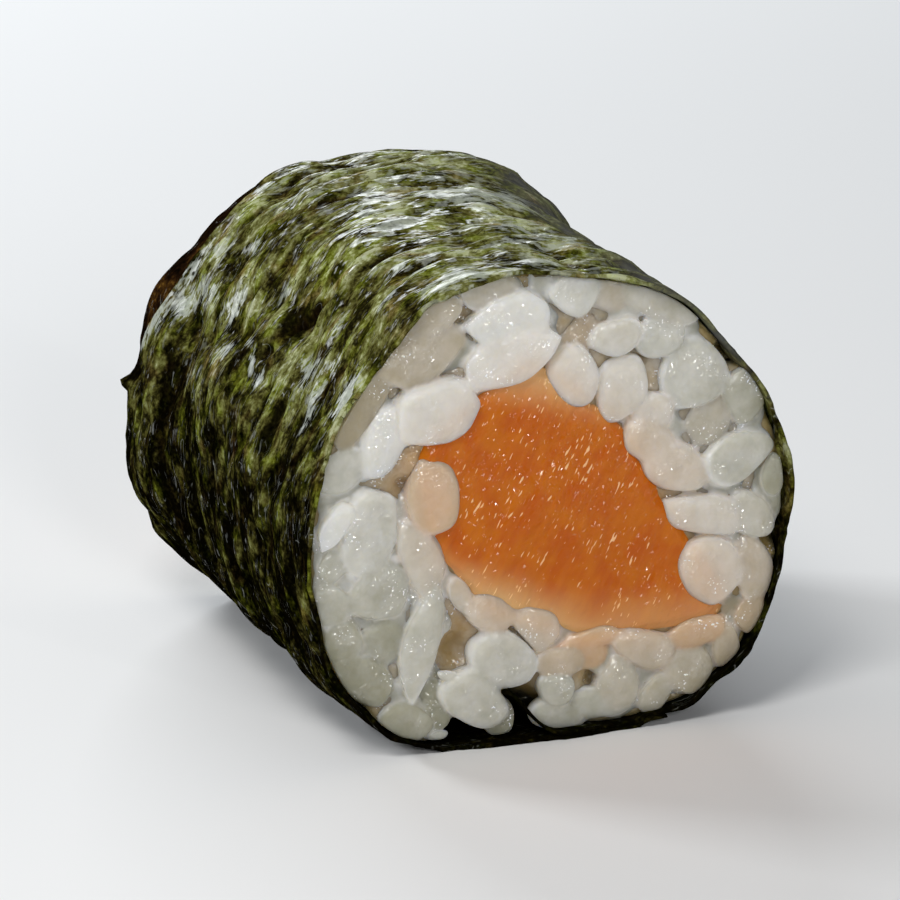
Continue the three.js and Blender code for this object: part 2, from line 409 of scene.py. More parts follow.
def along_fibres(shader):
    """The point on the sheet, with its place along the roll bent the way the fibres wander."""
    apart = shader.node("ShaderNodeSeparateXYZ", {0: shader.place()}).outputs
    together = {"X": apart["X"], "Y": shader.attribute("flow"), "Z": apart["Z"]}
    return shader.node("ShaderNodeCombineXYZ", together).outputs[0]


def nori_colours(shader, flowing, tone):
    """The sheet's colour at each tone: dull green, with greener patches and umber ones. The umber also
    carries painted shade behind the back fold and in hollows.
    """
    vivid = shader.curve(shader.noise(flowing, (1.5, 0.9, 1.5)), 0.46, 0.66, 0.0, 0.8)
    sheet = shader.mix(vivid, shader.ramp(tone, NORI_TONES), shader.ramp(tone, NORI_GREENS))
    rust_and_fold_shade = shader.curve(shader.noise(flowing, (1.9, 1.4, 1.9)), 0.52, 0.68, 0.0, 0.6)
    # Umber here also comes from the sheet, as painted shade behind the back fold and in hollows.
    rust_and_fold_shade = shader.most(shader.attribute("brown_and_fold_shade"), rust_and_fold_shade)
    return shader.mix(rust_and_fold_shade, sheet, shader.ramp(tone, NORI_BROWNS))


def nori_material():
    """Moist nori. Cracks are dark. Loose threads and the film over folds are glossy, and a painted
    highlight makes them pale.
    """
    shader = Shader("nori_sheet")
    flowing = along_fibres(shader)
    patches = shader.noise(flowing, (2.3, 1.5, 2.3), detail=1, roughness=0.6)
    lumps = shader.noise(flowing, (1.0, 0.6, 1.0), detail=1, roughness=0.6)
    mottle = shader.noise(flowing, (0.32, 0.26, 0.32), roughness=0.65)
    film = shader.noise(flowing, (1.3, 0.6, 1.3), roughness=0.6)
    fissures = shader.noise(flowing, (0.6, 0.16, 0.6), roughness=0.6)
    strands = shader.noise(flowing, (1.4, 0.34, 1.4), detail=0)
    broken = shader.noise(shader.place(), 1.2, detail=0)
    tone = shader.attribute("tone_light_and_shade")
    for pattern, weight in ((patches, 1.6), (lumps, 0.9), (mottle, 1.15)):
        tone = shader.plus(tone, shader.swing(pattern, weight))
    # The top and side keep a raised darkest tone: painted light.
    painted_light_floor = shader.plus(shader.swing(mottle, 0.6), shader.attribute("painted_light_floor"))
    tone = shader.most(shader.plus(tone, 0.44), painted_light_floor)
    sheet = nori_colours(shader, flowing, tone)
    crack = shader.curve(shader.away(lumps, 0.46), 0.022, 0.004)
    crack = shader.times(crack, shader.curve(broken, 0.54, 0.44))
    sheet = shader.mix(shader.times(crack, 0.75), sheet, colour(14, 11, 4))
    thread = shader.curve(shader.away(strands, 0.5), 0.016, 0.004)
    thread = shader.times(thread, shader.curve(broken, 0.6, 0.68))
    # Where the sheet shines, a painted highlight, a pale sheen, is mixed into its colour over the glossy
    # coat.
    shine = shader.attribute("shine")
    gloss = shader.plus(film, shader.times(shine, 0.34))
    gloss = shader.curve(shader.plus(gloss, shader.swing(fissures, 0.9)), 0.62, 0.76)
    painted = shader.times(gloss, shader.curve(shine, 0.0, 0.7, 0.1, 0.66))
    painted = shader.times(painted, shader.curve(mottle, 0.3, 0.6, 0.6, 1.05))
    # Pale painted glints along the threads, fainter where the sheet is dark.
    painted_thread_glints = shader.times(thread, shader.curve(tone, 0.1, 0.5, 0.12, 0.3))
    sheet = shader.mix(shader.most(painted, painted_thread_glints), sheet, colour(180, 187, 176))
    # A painted grey reflection along the upper right of the sheet.
    painted_grey_sheen = shader.times(shader.attribute("painted_grey_sheen"), shader.curve(patches, 0.3, 0.6, 1.0, 0.55))
    shader.set(Base_Color=shader.mix(painted_grey_sheen, sheet, colour(92, 93, 90)))
    shader.set(Roughness=0.6, IOR=1.45, Specular_IOR_Level=0.0)
    coat = shader.times(shader.most(gloss, thread), 0.8)
    shader.set(Coat_Weight=coat, Coat_Roughness=0.38, Coat_IOR=1.55)
    crinkles = shader.noise(flowing, (0.9, 0.6, 0.9), detail=0)
    facets = shader.noise(flowing, (0.34, 0.24, 0.34), detail=0)
    fine = shader.bump(facets, 0.6, 0.08, shader.bump(crinkles, 1.0, 0.17))
    shader.set(Normal=fine, Coat_Normal=fine)
    return shader.material


def rice_material(name, shade, juice):
    """Cooked rice. Each point has a paleness, which carries painted shade, a rim with a painted highlight,
    and a share of the fish's juice. Small glints are painted into its colour in patches.
    """
    shader = Shader(name)
    place = shader.place()
    cloud = shader.noise(place, 1.3, detail=3, roughness=0.6)
    pale = shader.plus(shader.attribute("pale"), shader.swing(cloud, 0.6))
    # A painted highlight along the rims of the grains.
    pale = shader.plus(pale, shader.times(shader.attribute("rim"), 0.45))
    body = shader.mix(shader.curve(pale, -0.1, 1.1), shade, colour(220, 219, 214))
    body = shader.mix(shader.attribute("pink"), body, juice)
    moist = shader.noise(place, 1.7, detail=1)
    # Small white painted glints, in patches where the rice is moist.
    painted_glints = shader.noise(place, 0.13, detail=0)
    painted_glints = shader.times(shader.curve(painted_glints, 0.68, 0.78), shader.curve(moist, 0.56, 0.64))
    shader.set(Base_Color=shader.mix(painted_glints, body, colour(255, 255, 252)))
    shader.set(Roughness=0.4, IOR=1.4, Specular_IOR_Level=0.3)
    shader.set(Subsurface_Weight=1.0, Subsurface_Scale=MM, Subsurface_Radius=(2.4, 2.1, 1.5))
    shader.set(Coat_Weight=shader.curve(moist, 0.42, 0.58, 0.1, 1.0), Coat_Roughness=0.1, Coat_IOR=1.6)
    pits = shader.noise(place, 0.22, detail=0)
    dents = shader.noise(place, 0.9, detail=1)
    shader.set(Normal=shader.bump(pits, 0.5, 0.03, shader.bump(dents, 0.5, 0.2)))
    shader.set(Coat_Normal=shader.bump(pits, 1.0, 0.11, shader.bump(dents, 0.5, 0.25)))
    return shader.material


def salmon_material():
    """Raw salmon: orange flesh in soft strands, pale fat, and a moist film with small glints along them,
    painted into its colour as well as shown by its glossy coat.
    """
    shader = Shader("raw_salmon")
    place = shader.place()
    turn = {"Vector": place, "Angle": np.radians(FIBRE_ANGLE)}
    strands = shader.node("ShaderNodeVectorRotate", turn, rotation_type="Y_AXIS").outputs[0]
    mottle = shader.noise(place, 1.9, roughness=0.6)
    lines = shader.noise(strands, (2.6, 2.6, 0.45), roughness=0.6)
    flesh = shader.mix(shader.curve(mottle, 0.35, 0.65), colour(180, 84, 0), colour(187, 99, 3))
    flesh = shader.mix(shader.curve(lines, 0.46, 0.66, 0.0, 0.16), flesh, colour(206, 120, 24))
    flesh = shader.mix(shader.times(shader.attribute("streak"), 0.12), flesh, colour(210, 130, 34))
    flesh = shader.mix(shader.attribute("fat"), flesh, colour(212, 170, 116))
    glint_patches = shader.noise(strands, (0.7, 0.7, 0.2), detail=1)
    where = shader.noise(place, 1.8, detail=1)
    glint_patches = shader.curve(shader.plus(glint_patches, shader.times(where, 0.8)), 0.96, 1.04, 0.0, 0.75)
    # Small painted glints along the strands, in patches.
    painted_glints = shader.noise(strands, (0.5, 0.5, 0.11), detail=0)
    painted_glints = shader.times(shader.curve(painted_glints, 0.66, 0.75), glint_patches)
    shader.set(Base_Color=shader.mix(painted_glints, flesh, colour(250, 206, 150)))
    shader.set(Roughness=0.5, IOR=1.42, Specular_IOR_Level=0.05)
    shader.set(Subsurface_Weight=0.35, Subsurface_Scale=MM, Subsurface_Radius=(1.0, 0.55, 0.25))
    shader.set(Coat_Weight=0.8, Coat_Roughness=0.1, Coat_IOR=1.35)
    grain = shader.noise(strands, (0.4, 0.4, 0.22), detail=0)
    shader.set(Normal=shader.bump(grain, 0.6, 0.03), Coat_Normal=shader.bump(grain, 1.0, 0.14))
    return shader.material


# ---- nori ----

NORI_COLUMNS = 306
NORI_ROWS = 300
TUFT_ANGLE = 176
TUFT_HEIGHT = 0.7
TUFT_WIDTH = 1.5  # in degrees
INSIDE_ROWS = 24  # the inside of the sheet hardly shows, so it is coarser along the roll
BACK_FOLD = 12.2  # place along the roll of the fold near the back rim
CREASES = [  # from angle and place to angle and place, with depth and width
    (128, -5.6, 149, -2.0, 0.5, 0.5), (147, 0.9, 161, 0.4, 0.4, 0.45),
    (166, 2.5, 176, 3.0, 0.3, 0.5), (84, -4.9, 96, -5.3, 0.35, 0.4),
    (108, 5.2, 124, 5.8, 0.3, 0.6), (125, 2.0, 140, 3.1, 0.3, 0.4),
    (96, -10.8, 118, -8.9, -0.25, 0.5), (84, -9.3, 96, -10.6, -0.22, 0.45),
]
# Marks on the sheet: angle, place, how far each spreads in degrees and along the roll, and its strength.
# The shine marks place the sheet's gloss and its painted highlight.
SHINES = [
    (108, -2.4, 5, 0.6, 1.0), (114, -3.4, 2.5, 0.5, 0.7), (101, -1.7, 4, 0.5, 0.6),
    (115, -8.9, 3, 0.8, 1.0), (97, -9.6, 6, 0.35, 0.9), (85, -9.0, 6, 0.35, 0.9),
    (110, -14.0, 7, 1.1, 0.9), (89, -13.9, 4, 0.6, 0.9), (102, 4.0, 4, 1.6, 0.6),
    (88, 3.2, 6, 2.4, 0.75), (78, 2.4, 6, 2.0, 0.6), (108, 1.6, 4, 0.9, 0.7),
    (84, -6.9, 5, 0.4, 0.7), (72, -7.4, 6, 1.2, 0.5), (95, 11.3, 1.5, 1.5, 0.7),
    (118, 12.6, 3, 1.2, 0.4), (66, 3.0, 7, 3.0, 0.5), (161, 13.6, 3.5, 0.9, 0.8),
    (157, 12.4, 3.5, 0.7, 0.8), (145, 11.7, 8, 0.6, 0.9), (149, 10.2, 3.5, 0.8, 1.0),
    (146, 8.0, 3, 1.1, 0.9), (136, 10.2, 4, 0.9, 0.6), (130, 7.2, 4, 1.2, 0.7),
    (144, 4.0, 5, 0.7, 1.1), (155, 2.3, 3, 0.8, 0.8), (153, -1.3, 2, 0.8, 0.8),
    (155, -3.4, 2, 0.9, 1.0), (146, -8.2, 3.5, 1.2, 1.1), (153, -11.2, 6, 0.5, 0.9),
    (143, -10.8, 5, 0.5, 0.9), (145.5, -14.7, 5, 0.7, 1.3), (163, 4.8, 2, 1.0, 0.6),
    (164, 7.0, 3, 1.2, 0.5), (181, 0.3, 1.5, 0.9, 0.8), (148, -0.2, 1.5, 0.4, 0.7),
    (135, 0.0, 2.5, 0.6, 0.6), (136, -8.3, 2.5, 0.5, 0.6), (172, -7.0, 1.5, 1.2, 0.6),
    (178, -8.0, 1.2, 0.9, 0.6), (124, -12.0, 3, 0.6, 0.6), (70, 12.0, 10, 1.6, 0.4),
]
OLIVES = [
    (108, 8.8, 7, 0.9, 0.16), (99, 5.9, 4, 0.7, 0.2), (85, 8.6, 6, 0.7, 0.14),
    (110, -5.6, 7, 1.2, 0.14), (80, -3.0, 7, 0.9, 0.14), (76, -9.0, 4, 1.2, 0.12),
    (120, 10.2, 4, 1.0, 0.14), (160, 7.0, 6, 1.3, 0.12), (138, 0.5, 8, 2.4, 0.1),
    (130, -2.8, 4, 2.2, 0.2), (158, -4.8, 8, 1.6, 0.1), (145, -5.2, 7, 1.2, 0.12),
    (164, 5.0, 5, 1.0, 0.1), (148, 6.4, 8, 1.4, 0.1), (154, -8.5, 5, 0.7, 0.08),
    (135, -13.0, 6, 1.6, 0.12), (168, 10.4, 7, 0.7, 0.1), (135, 11.2, 5, 1.0, 0.12),
    (146, 2.6, 6, 0.5, 0.14), (176, -1.5, 4, 1.0, 0.06), (187, -1.6, 4, 0.8, 0.08),
    (75, 5.6, 5, 0.9, 0.12),
]
# Several dark marks run along the creases, as painted shade in them.
DARKS = [
    (108, 13.0, 12, 0.9, 0.2), (116, 4.6, 7, 0.5, 0.26), (94, -7.2, 8, 0.6, 0.24),
    (95, 3.0, 2.6, 1.3, 0.2), (65, 5.2, 3, 1.0, 0.2), (105, -1.0, 4, 0.6, 0.22),
    (115, -10.5, 6, 0.5, 0.2), (100, -11.3, 5, 0.6, 0.14), (152, 0.6, 5, 0.6, 0.2),
    (163, 0.2, 6, 0.6, 0.14), (146, -2.3, 4, 0.3, 0.12), (139, -3.5, 4, 0.3, 0.12),
    (131, -4.6, 4, 0.3, 0.12), (165, -7.3, 8, 0.35, 0.25), (129, 1.8, 5, 0.8, 0.16),
    (168, -12.8, 8, 1.4, 0.2), (178, -6.2, 6, 1.6, 0.15), (176, 3.5, 5, 1.4, 0.12),
    (128, -9.6, 4, 0.5, 0.18), (157, 8.2, 4, 0.35, 0.2), (182, 9.0, 8, 1.6, 0.15),
    (60, -11.5, 8, 1.6, 0.12),
]
BROWNS = [(170, -3.6, 3.5, 0.8, 1.0)]


def flow_along(angle, along):
    """Place along the roll, bent the way the sheet's fibres wander as they run round it."""
    x, z = from_polar(ROLL_RADIUS, angle)
    wander = 1.4 * noise(x / 7, along / 6, z / 7, 1) + 0.4 * noise(x / 2.5, along / 2.5, z / 2.5, 2)
    return along + wander


def back_fold(angle, along):
    """How far behind the fold near the back rim a point lies, and how much of a fold there is."""
    behind = along - BACK_FOLD - 1.3 * smoothstep(angle, 152, 166)
    return behind, plateau(angle, 108, 126, 168, 178)


def wrinkles(angle, along, flow):
    """Relief of the moist sheet, in millimetres: pillows, folds and fibres that run round the roll."""
    x, z = from_polar(ROLL_RADIUS, angle)
    pillows = np.abs(noise(x / 4.2, flow / 1.9, z / 4.2, 3)) - 0.3
    folds = np.maximum(0, 1 - 3.0 * np.abs(noise(x / 4.5, flow / 1.5, z / 4.5, 9)))
    pleats = noise(x / 2.0, flow / 0.6, z / 2.0, 4)
    fibres = noise(x / 1.1, flow / 0.3, z / 1.1, 5)
    lumps = noise(x / 2.0, along / 1.6, z / 2.0, 6)
    relief = 0.6 * pillows + 0.18 * folds + 0.07 * pleats + 0.02 * fibres + 0.14 * lumps
    for a1, y1, a2, y2, depth, width in CREASES:
        share = np.clip((angle - a1) / (a2 - a1), 0, 1)
        aside = np.abs(angle - a1 - share * (a2 - a1)) * np.pi * ROLL_RADIUS / 180
        away = np.hypot(aside, along - y1 - share * (y2 - y1))
        relief = relief - depth * hill(away, width)
    behind, there = back_fold(angle, along)
    fold = 0.2 * hill(behind, 0.4) - 0.45 * smoothstep(behind, 0.1, 0.9)
    return relief + there * fold


def marks(angle, along, places):
    """How strongly each point is marked by the places in a list."""
    total = np.zeros(angle.shape)
    x, z = from_polar(ROLL_RADIUS, angle)
    ragged_angle = angle + 2.5 * noise(x / 1.6, along / 0.9, z / 1.6, 11)
    ragged_along = along + 0.45 * noise(x / 1.6, along / 0.9, z / 1.6, 12)
    for middle, place, turn, run, strength in places:
        away = ((ragged_angle - middle) / turn) ** 2 + ((ragged_along - place) / run) ** 2
        total = total + strength * np.exp(-away)
    return total


def nori_looks(angle, along, relief):
    """The sheet's tone with painted light and shade, its umber with painted shade behind the back fold and
    in hollows, its shine and painted sheen, its painted grey reflection, and its darkest tone, raised on
    the top and side as painted light. It is painted lighter over the top and painted darker towards the
    floor, with a pale film on the front rim at the left."""
    round_angle = angle % 360
    turned = (angle + 180) % 360 - 180
    above = smoothstep(turned, 5, 45) * (1 - smoothstep(round_angle, 120, 150))
    side = plateau(round_angle, 120, 150, 160, 180)
    below = plateau(round_angle, 150, 190, 345, 365)
    beneath = plateau(round_angle, 200, 240, 310, 340)
    top = plateau(turned, 56, 72, 110, 128)
    # Where the painted grey reflection lies, round from the top towards the right.
    painted_grey_sheen = plateau(turned, 20, 50, 60, 74)
    rim = smoothstep(-along, HALF_LENGTH - 0.5, HALF_LENGTH - 0.1)
    rim = rim * plateau(round_angle, 136, 146, 190, 205)
    behind, there = back_fold(angle, along)
    behind = smoothstep(behind, 0.2, 0.6) * there
    # The tone is painted lighter over the top and on ridges of the relief, and painted darker on the side,
    # towards the floor and in hollows of the relief.
    tone_light_and_shade = 0.08 * above - 0.03 * side - 0.36 * below - 0.3 * beneath + 0.5 * np.clip(relief, -0.35, 0.2)
    tone_light_and_shade = tone_light_and_shade + marks(turned, along, OLIVES) - marks(turned, along, DARKS)
    # More gloss and painted sheen on the ridges and over the top, and less towards the floor.
    shine = marks(turned, along, SHINES) + 0.5 * np.clip(relief, -0.4, 0.2) - 0.3 * below + 0.3 * top
    # Umber as painted shade behind the back fold and in hollows of the relief, and one umber patch of the
    # sheet's own.
    brown_and_fold_shade = np.maximum(behind, 0.7 * smoothstep(-relief, 0.05, 0.3))
    brown_and_fold_shade = np.maximum(brown_and_fold_shade, marks(turned, along, BROWNS))
    # Painted shade behind the back fold and painted light over the top go into the tone, and the top and
    # side keep a raised darkest tone, as painted light.
    return {
        "tone_light_and_shade": tone_light_and_shade + 0.3 * rim - 0.12 * behind + 0.06 * top,
        "brown_and_fold_shade": np.clip(brown_and_fold_shade, 0, 1),
        "shine": shine - 1.2 * behind - 0.6 * rim - 0.4 * painted_grey_sheen,
        "painted_grey_sheen": 0.85 * painted_grey_sheen,
        "painted_light_floor": 0.2 * above + 0.1 * side,
    }


def half_lengths(turned):
    """How far the sheet reaches along the roll at each angle. Its cut edges wander and are ragged."""
    ragged = 0.5 * noise(turned / 1.3, 0, 0, 7) + 0.5 * noise(turned / 0.5, 3, 0, 8)
    edge = EDGE_WAVE * (np.sin(np.radians(7 * turned)) + 0.5 * np.sin(np.radians(17 * turned) + 1))
    return HALF_LENGTH + edge + 0.08 * ragged


def nori_faces(inside_rows):
    """Faces of the sheet's outside and inside, of its two cut edges, and of its two ends."""
    first = NORI_ROWS * NORI_COLUMNS
    last_inside = len(inside_rows) - 1
    outer = grid_faces(NORI_ROWS, NORI_COLUMNS)
    inner = grid_faces(len(inside_rows), NORI_COLUMNS)[:, ::-1] + first
    column = np.arange(NORI_COLUMNS - 1)
    edges = []
    for row_out, row_in, turn in ((0, 0, 1), (NORI_ROWS - 1, last_inside, -1)):
        a = row_out * NORI_COLUMNS + column
        b = first + row_in * NORI_COLUMNS + column
        edges.append(np.stack([a, a + 1, b + 1, b], axis=-1)[:, ::turn])
    # Each face at the ends has all the outer points between two inner ones.
    ends = []
    for side, turn in ((0, -1), (NORI_COLUMNS - 1, 1)):
        for row in range(last_inside):
            ring = [r * NORI_COLUMNS + side for r in range(inside_rows[row], inside_rows[row + 1] + 1)]
            ring += [first + (row + 1) * NORI_COLUMNS + side, first + row * NORI_COLUMNS + side]
            ends.append([int(corner) for corner in ring[::turn]])
    return np.concatenate([outer, inner] + edges).tolist() + ends


def make_nori():
    turned = np.linspace(SHEET_START, SHEET_END, NORI_COLUMNS)
    share, angle = np.meshgrid(np.linspace(-1, 1, NORI_ROWS), turned, indexing="ij")
    along = share * half_lengths(turned)
    depth = nori_depth(angle)
    flow = flow_along(angle, along)
    relief = np.clip(wrinkles(angle, along, flow), -0.6, 0.28)
    tuft = hill(angle - TUFT_ANGLE, TUFT_WIDTH) * smoothstep(along, HALF_LENGTH - 1.3, HALF_LENGTH)
    relief = relief + TUFT_HEIGHT * tuft * (0.7 + 0.5 * noise(angle / 0.6, along / 0.3, 0, 10))
    rows = np.round(np.linspace(0, NORI_ROWS - 1, INSIDE_ROWS)).astype(int)
    outside = roll_points(angle, along, depth, relief)
    inside = roll_points(angle[rows], along[rows], depth[rows] + NORI_THICKNESS, relief[rows])
    points = np.concatenate([outside.reshape(-1, 3), inside.reshape(-1, 3)])
    looks = {"flow": flow, **nori_looks(angle, along, relief)}
    looks = {key: np.concatenate([value.ravel(), value[rows].ravel()]) for key, value in looks.items()}
    stand_for(add_mesh("nori_sheet", points, nori_faces(rows), nori_material(), looks), "nori")


# ---- rice ----

# Grains that show in the front cut. Each has its middle in the section, its length and width, the way it
# lies in degrees, how far its top lies behind the cut, how pale it is, and how much the fish has tinted it.
FRONT_GRAINS = [
    # top
    (-2.3, 11.45, 4.8, 2.8, 14, 0.1, 0.9, 0.0),
    (-2.3, 9.2, 6.4, 2.7, 18, 0.0, 0.9, 0.06),
    (1.5, 12.3, 3.2, 2.9, -30, 0.1, 0.7, 0.0),
    (-3.3, 12.95, 3.7, 2.0, 10, 0.5, 0.5, 0.1),
    (-6.9, 11.6, 4.0, 2.4, 25, 0.5, 0.35, 0.15),
    (-7.4, 9.6, 5.4, 2.8, 15, 0.4, 0.32, 0.16),
    (-10.5, 7.1, 4.8, 2.5, 52, 0.5, 0.1, 0.14),
    # left
    (-6.5, 6.45, 5.5, 3.3, 5, 0.0, 0.88, 0.06),
    (-9.4, 4.9, 4.6, 2.4, 65, 0.2, 0.85, 0.0),
    (-12.0, 3.7, 3.7, 2.5, 20, 0.4, 0.5, 0.0),
    (-12.2, 0.8, 3.5, 1.2, 52, 0.0, 0.9, 0.0),
    (-10.3, 0.2, 5.0, 3.3, 78, 0.2, 0.6, 0.0),
    (-6.7, 1.9, 4.3, 3.1, 105, 0.1, 0.36, 0.34),
    (-7.4, -1.7, 4.5, 2.7, 112, 0.3, 0.55, 0.12),
    (-9.8, -3.4, 3.9, 3.3, 160, 0.4, 0.4, 0.0),
    (-12.3, -1.7, 2.3, 1.8, 40, 0.5, 0.4, 0.0),
    (-12.6, -3.6, 2.8, 2.4, 100, 0.5, 0.4, 0.0),
    (-12.1, -5.8, 2.9, 2.6, 60, 0.5, 0.25, 0.0),
    (-9.6, -6.2, 3.2, 2.7, 30, 0.8, 0.2, 0.0),
    (-10.6, -8.2, 4.2, 2.5, 145, 0.5, 0.15, 0.0),
    # bottom left
    (-7.3, -6.2, 7.0, 2.3, 74, 0.1, 0.5, 0.0),
    (-8.1, -10.9, 3.5, 3.0, 20, 0.4, 0.2, 0.0),
    (-6.4, -10.2, 3.2, 1.9, 95, 0.9, 0.0, 0.0),
    (-6.3, -12.0, 1.3, 0.8, 0, 0.8, 0.4, 0.0),
    (-4.25, -10.1, 4.2, 3.0, 138, 0.0, 0.55, 0.0),
    (-5.9, -8.4, 1.5, 0.8, 165, 0.2, 0.5, 0.0),
    (-2.6, -11.3, 2.5, 1.8, 100, 1.0, 0.1, 0.0),
    (-2.5, -8.0, 3.8, 3.4, 150, 0.2, 0.6, 0.0),
    (-3.2, -5.0, 3.5, 2.2, 145, 0.4, 0.5, 0.25),
    (-5.0, -4.2, 2.6, 1.4, 110, 0.5, 0.45, 0.15),
    # bottom
    (-0.8, -6.5, 3.2, 2.6, 125, 0.3, 0.5, 0.2),
    (0.55, -9.9, 2.4, 2.0, 0, 0.2, 0.5, 0.0),
    (0.8, -8.3, 2.8, 2.0, 10, 0.4, 0.4, 0.25),
    (0.8, -11.5, 3.2, 1.9, 160, 0.6, 0.5, 0.0),
    (2.4, -8.1, 3.0, 2.0, 160, 0.6, 0.3, 0.5),
    (2.6, -7.4, 4.2, 1.3, 8, 0.45, 0.4, 0.6),
    (3.0, -11.3, 4.6, 1.8, 0, 0.6, 0.55, 0.0),
    (4.4, -10.0, 3.2, 2.7, 110, 0.2, 0.55, 0.08),
    (5.9, -8.4, 4.2, 2.5, 165, 0.1, 0.6, 0.2),
    (6.6, -11.0, 2.4, 2.0, 60, 0.6, 0.55, 0.08),
    (8.6, -9.6, 3.4, 3.0, 50, 0.4, 0.55, 0.12),
    (8.9, -7.7, 3.8, 1.6, 8, 0.35, 0.4, 0.5),
    (10.9, -8.7, 2.6, 2.1, 100, 0.5, 0.5, 0.2),
    (12.0, -6.9, 2.4, 1.9, 60, 0.5, 0.3, 0.3),
    # right
    (9.8, -4.1, 4.0, 3.3, 115, 0.0, 0.85, 0.2),
    (12.1, -4.3, 4.0, 2.5, 95, 0.4, 0.65, 0.22),
    (9.2, -1.0, 4.8, 2.4, 160, 0.1, 0.8, 0.12),
    (12.2, -1.2, 3.1, 2.7, 110, 0.3, 0.65, 0.05),
    (11.4, 2.1, 4.0, 3.3, 10, 0.0, 0.6, 0.0),
    (13.2, 1.0, 2.6, 1.5, 80, 0.4, 0.4, 0.0),
    (7.6, 1.9, 4.4, 2.7, 145, 0.1, 0.7, 0.22),
    (6.1, 3.5, 3.6, 2.5, 140, 0.2, 0.6, 0.22),
    (6.1, 5.1, 2.7, 2.4, 30, 0.4, 0.7, 0.15),
    (9.6, 4.4, 3.2, 2.6, 60, 0.7, 0.4, 0.1),
    (8.6, 7.1, 4.0, 3.6, 120, 0.3, 0.55, 0.0),
    (11.6, 5.9, 3.9, 3.0, 110, 0.3, 0.4, 0.0),
    # top right
    (4.2, 6.8, 3.7, 3.2, 100, 0.1, 0.7, 0.1),
    (1.4, 7.8, 4.0, 2.6, 125, 0.0, 0.8, 0.12),
    (3.9, 9.9, 3.0, 2.1, 0, 0.2, 0.65, 0.06),
    (6.6, 9.5, 3.3, 2.2, 165, 0.3, 0.55, 0.0),
    (6.4, 11.4, 5.8, 2.0, 152, 0.4, 0.5, 0.05),
    (3.6, 12.1, 3.2, 2.4, 150, 0.7, 0.45, 0.15),
    (2.2, 9.9, 3.0, 2.2, 60, 1.0, 0.1, 0.3),
]
CLEAN_CUT = 0.85  # a grain paler than this has been cut by the knife, and its edges are crisp
GRAIN_LOOKS = ("pale", "pink", "rim")
FAR_SEED = 300  # added to a grain's number, so that its twin at the far end has other dents
VOIDS = [  # hollows between the grains of the front: middle in the section, reach and depth
    (-5.3, -7.0, 1.2, 0.9), (-5.1, 11.8, 0.7, 0.6), (-8.7, 10.4, 0.6, 0.6),
    (-8.3, 2.5, 0.5, 0.6), (1.7, 9.7, 0.6, 0.5), (3.5, 12.1, 0.5, 0.5),
    (10.5, 7.9, 0.7, 2.0), (5.7, 8.3, 0.3, 0.8), (13.5, -2.4, 0.7, 1.4),
    (13.3, -5.2, 0.8, 1.2), (-2.6, -6.45, 0.5, 0.8), (2.9, -9.8, 0.6, 0.8),
    (-5.1, -11.8, 1.2, 1.4), (-2.0, -11.0, 1.4, 3.0), (-0.6, -12.0, 1.0, 3.0),
    (12.9, -8.0, 0.7, 1.0),
]


def grain_ball(subdivisions):
    """Points and faces of a fine ball, from which the grains are shaped."""
    ball = bmesh.new()
    bmesh.ops.create_icosphere(ball, subdivisions=subdivisions, radius=1)
    points = np.array([corner.co for corner in ball.verts])
    faces = [[corner.index for corner in face.verts] for face in ball.faces]
    ball.free()
    return points, faces


def press_sides(x, z, seed, softness, flats):
    """Flattens a grain's sides in some directions, as its neighbours and the knife have done."""
    for turn in range(flats):
        way = 2 * np.pi / flats * (turn + 0.7 * noise(np.float64(seed), turn, 0, 25))
        out = x * np.cos(way) + z * np.sin(way)
        limit = out.max() * (0.84 + 0.12 * noise(np.float64(seed), turn, 3, 26))
        over = out - soft_limit(out, limit, softness)
        x, z = x - over * np.cos(way), z - over * np.sin(way)
    return x, z


def shape_grain(ball, size, lie, tilt, seed, top, softness, ragged=0.015, flats=4):
    """One cooked grain about its middle: a plump bar, dented all over, cut off at the top by the knife.
    Its size is its length, width and depth. Depth points out of the cut. It lies and tilts by degrees."""
    lie, tilt = np.radians(lie), np.radians(tilt)
    plump = ball / (np.abs(ball) ** GRAIN_PLUMPNESS).sum(axis=1, keepdims=True) ** (1 / GRAIN_PLUMPNESS)
    body = plump * np.array(size) / 2
    along, across, out = body.T
    swell = 1 + 0.1 * noise(along / 1.5 + seed, across / 1.3, out / 1.3, 21)
    swell = swell + ragged * noise(along / 0.6 + seed, across / 0.6, out / 1.2, 22)
    bend = 0.25 * noise(np.float64(seed), 0, 0, 20)
    along, out = along * (1 + (swell - 1) / 2), out * swell
    across = across * swell + bend * (1 - (2 * along / size[0]) ** 2)
    along, out = along * np.cos(tilt) - out * np.sin(tilt), along * np.sin(tilt) + out * np.cos(tilt)
    x = along * np.cos(lie) - across * np.sin(lie)
    z = along * np.sin(lie) + across * np.cos(lie)
    x, z = press_sides(x, z, seed, softness, flats)
    lean = 0.07 * noise(np.float64(seed), 5, 0, 23) * x + 0.07 * noise(np.float64(seed), 9, 0, 24) * z
    rim = smoothstep(np.hypot(plump[:, 0], plump[:, 1]), 0.85, 1.0)
    return np.stack([x, -soft_limit(out, top + lean, softness), z], axis=-1), rim


def hold_in_nori(points, depth):
    """Presses points back inside the sheet of nori, to that depth under its skin."""
    x, y, z = points.T
    angle = angle_of(x, z)
    dents = np.minimum(wrinkles(angle % 360, y, flow_along(angle, y)), 0)
    held = soft_limit(np.hypot(x, z), roll_radius(angle, y) + dents - depth, 0.06)
    x, z = from_polar(held, angle)
    z = -soft_limit(-z, AXIS_HEIGHT - depth, 0.06)
    return np.stack([x, y, z], axis=-1)


